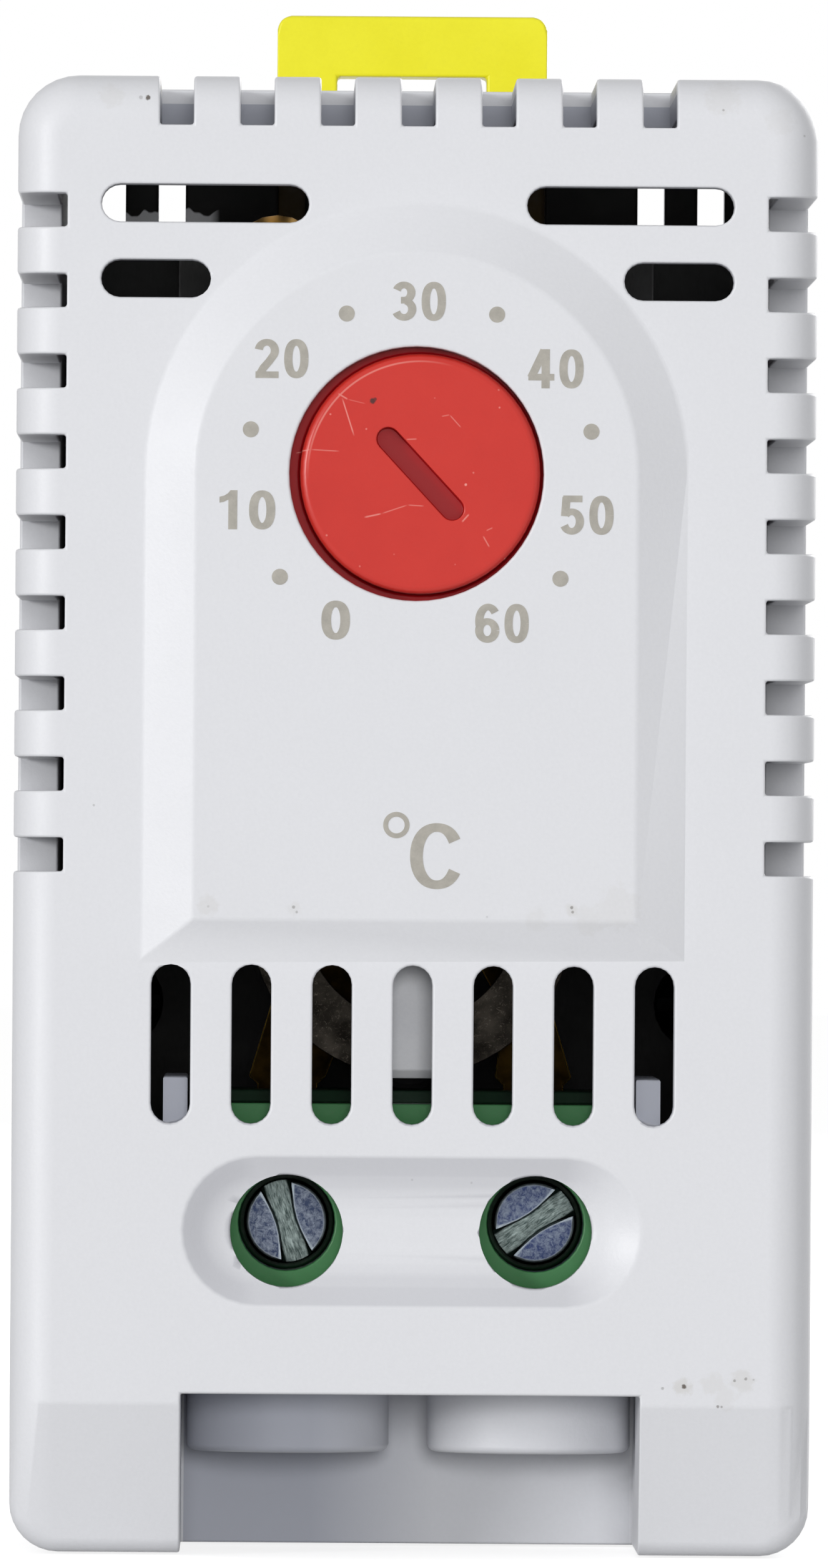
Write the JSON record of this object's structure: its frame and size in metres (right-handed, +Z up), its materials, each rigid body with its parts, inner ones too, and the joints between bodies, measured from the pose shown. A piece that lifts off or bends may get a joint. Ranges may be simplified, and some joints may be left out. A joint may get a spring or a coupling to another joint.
{
  "type": "enclosure thermostat",
  "caption": "Rail-clip enclosure thermostat: vented box housing, round setting dial on an arch panel, clamp terminals, sliding rail latch and a bimetal switch inside.",
  "frame": {"origin": "on the surface that the housing stands on, under the middle of the bounding box", "axes": "+X to the right of someone who faces the dial, the dial faces -Y, the rail clip is at +Y, +Z up"},
  "size_m": [0.0328, 0.043, 0.0647],
  "materials": {
    "housing_plastic": "light grey self-extinguishing moulding, fine satin",
    "yellow_plastic": "yellow moulding, satin",
    "red_plastic": "red moulding, satin, lightly scratched",
    "green_plastic": "green moulding, satin",
    "black_plastic": "black glass-filled moulding",
    "natural_plastic": "natural nylon moulding",
    "brass": "stamped and turned brass, slightly dulled",
    "zinc_plate": "zinc plated steel",
    "spring_steel": "rolled spring steel",
    "bimetal": "aged bimetal strip, dark",
    "silver": "silver alloy contact",
    "ferrite": "sintered ferrite"
  },
  "bodies": {
    "housing": {"front_cover": "housing_plastic", "rear_housing": "housing_plastic", "latch_spring": "spring_steel", "spindle_bush": "brass", "lever_pin": "zinc_plate", "switch_carrier": "black_plastic", "carrier_screw_left": "zinc_plate", "carrier_screw_right": "zinc_plate", "calibration_screw": "brass", "bimetal_blade": "bimetal", "blade_rivet_left": "brass", "blade_rivet_right": "brass", "push_pin": "natural_plastic", "contact_strap_left": "brass", "contact_strap_right": "brass", "fixed_contact": "silver", "arm_rivet": "brass", "snap_magnet": "ferrite", "terminal_block": "green_plastic"},
    "dial": {"dial_knob": "red_plastic", "dial_spindle": "brass"},
    "lever": {"setting_lever": "natural_plastic"},
    "arm": {"contact_arm": "spring_steel", "moving_contact": "silver"},
    "latch": {"rail_latch": "yellow_plastic"},
    "screw_left": {"terminal_screw_left": "zinc_plate"},
    "screw_right": {"terminal_screw_right": "zinc_plate"},
    "cage_left": {"clamp_cage_left": "zinc_plate"},
    "cage_right": {"clamp_cage_right": "zinc_plate"}
  },
  "joints": [
    {"name": "dial_turn", "type": "hinge", "parent": "housing", "child": "dial", "pos_m": [0.00015, -0.0182, 0.0443], "axis": [0, 1, 0], "range_deg": [-107.2, 192.8]},
    {"name": "lever_tilt", "type": "hinge", "parent": "housing", "child": "lever", "pos_m": [0, -0.014, 0.033], "axis": [1, 0, 0], "range_deg": [-1.75, 3.1]},
    {"name": "contact_snap", "type": "hinge", "parent": "housing", "child": "arm", "pos_m": [0, -0.0066, 0.0345], "axis": [1, 0, 0], "range_deg": [0, 4.2], "stiffness_Nm_per_rad": 0.02},
    {"name": "latch_release", "type": "slide", "parent": "housing", "child": "latch", "axis": [0, 0, 1], "range_m": [0, 0.0026], "stiffness_N_per_m": 400, "deforming": ["latch_spring"]},
    {"name": "screw_left_turn", "type": "hinge", "parent": "housing", "child": "screw_left", "pos_m": [-0.0051, -0.0141, 0.01361], "axis": [0, 1, 0], "range_deg": [0, 1441]},
    {"name": "cage_left_slide", "type": "slide", "parent": "housing", "child": "cage_left", "axis": [0, -1, 0], "range_m": [0, 0.0018]},
    {"name": "screw_right_turn", "type": "hinge", "parent": "housing", "child": "screw_right", "pos_m": [0.0051, -0.0141, 0.01361], "axis": [0, 1, 0], "range_deg": [0, 1441]},
    {"name": "cage_right_slide", "type": "slide", "parent": "housing", "child": "cage_right", "axis": [0, -1, 0], "range_m": [0, 0.0018]}
  ],
  "couplings": [
    {"joint": "lever_tilt", "follows": "dial_turn", "ratio": 0.01557},
    {"joint": "screw_left_turn", "follows": "cage_left_slide", "rad_per_m": 13963},
    {"joint": "screw_right_turn", "follows": "cage_right_slide", "rad_per_m": 13963}
  ]
}
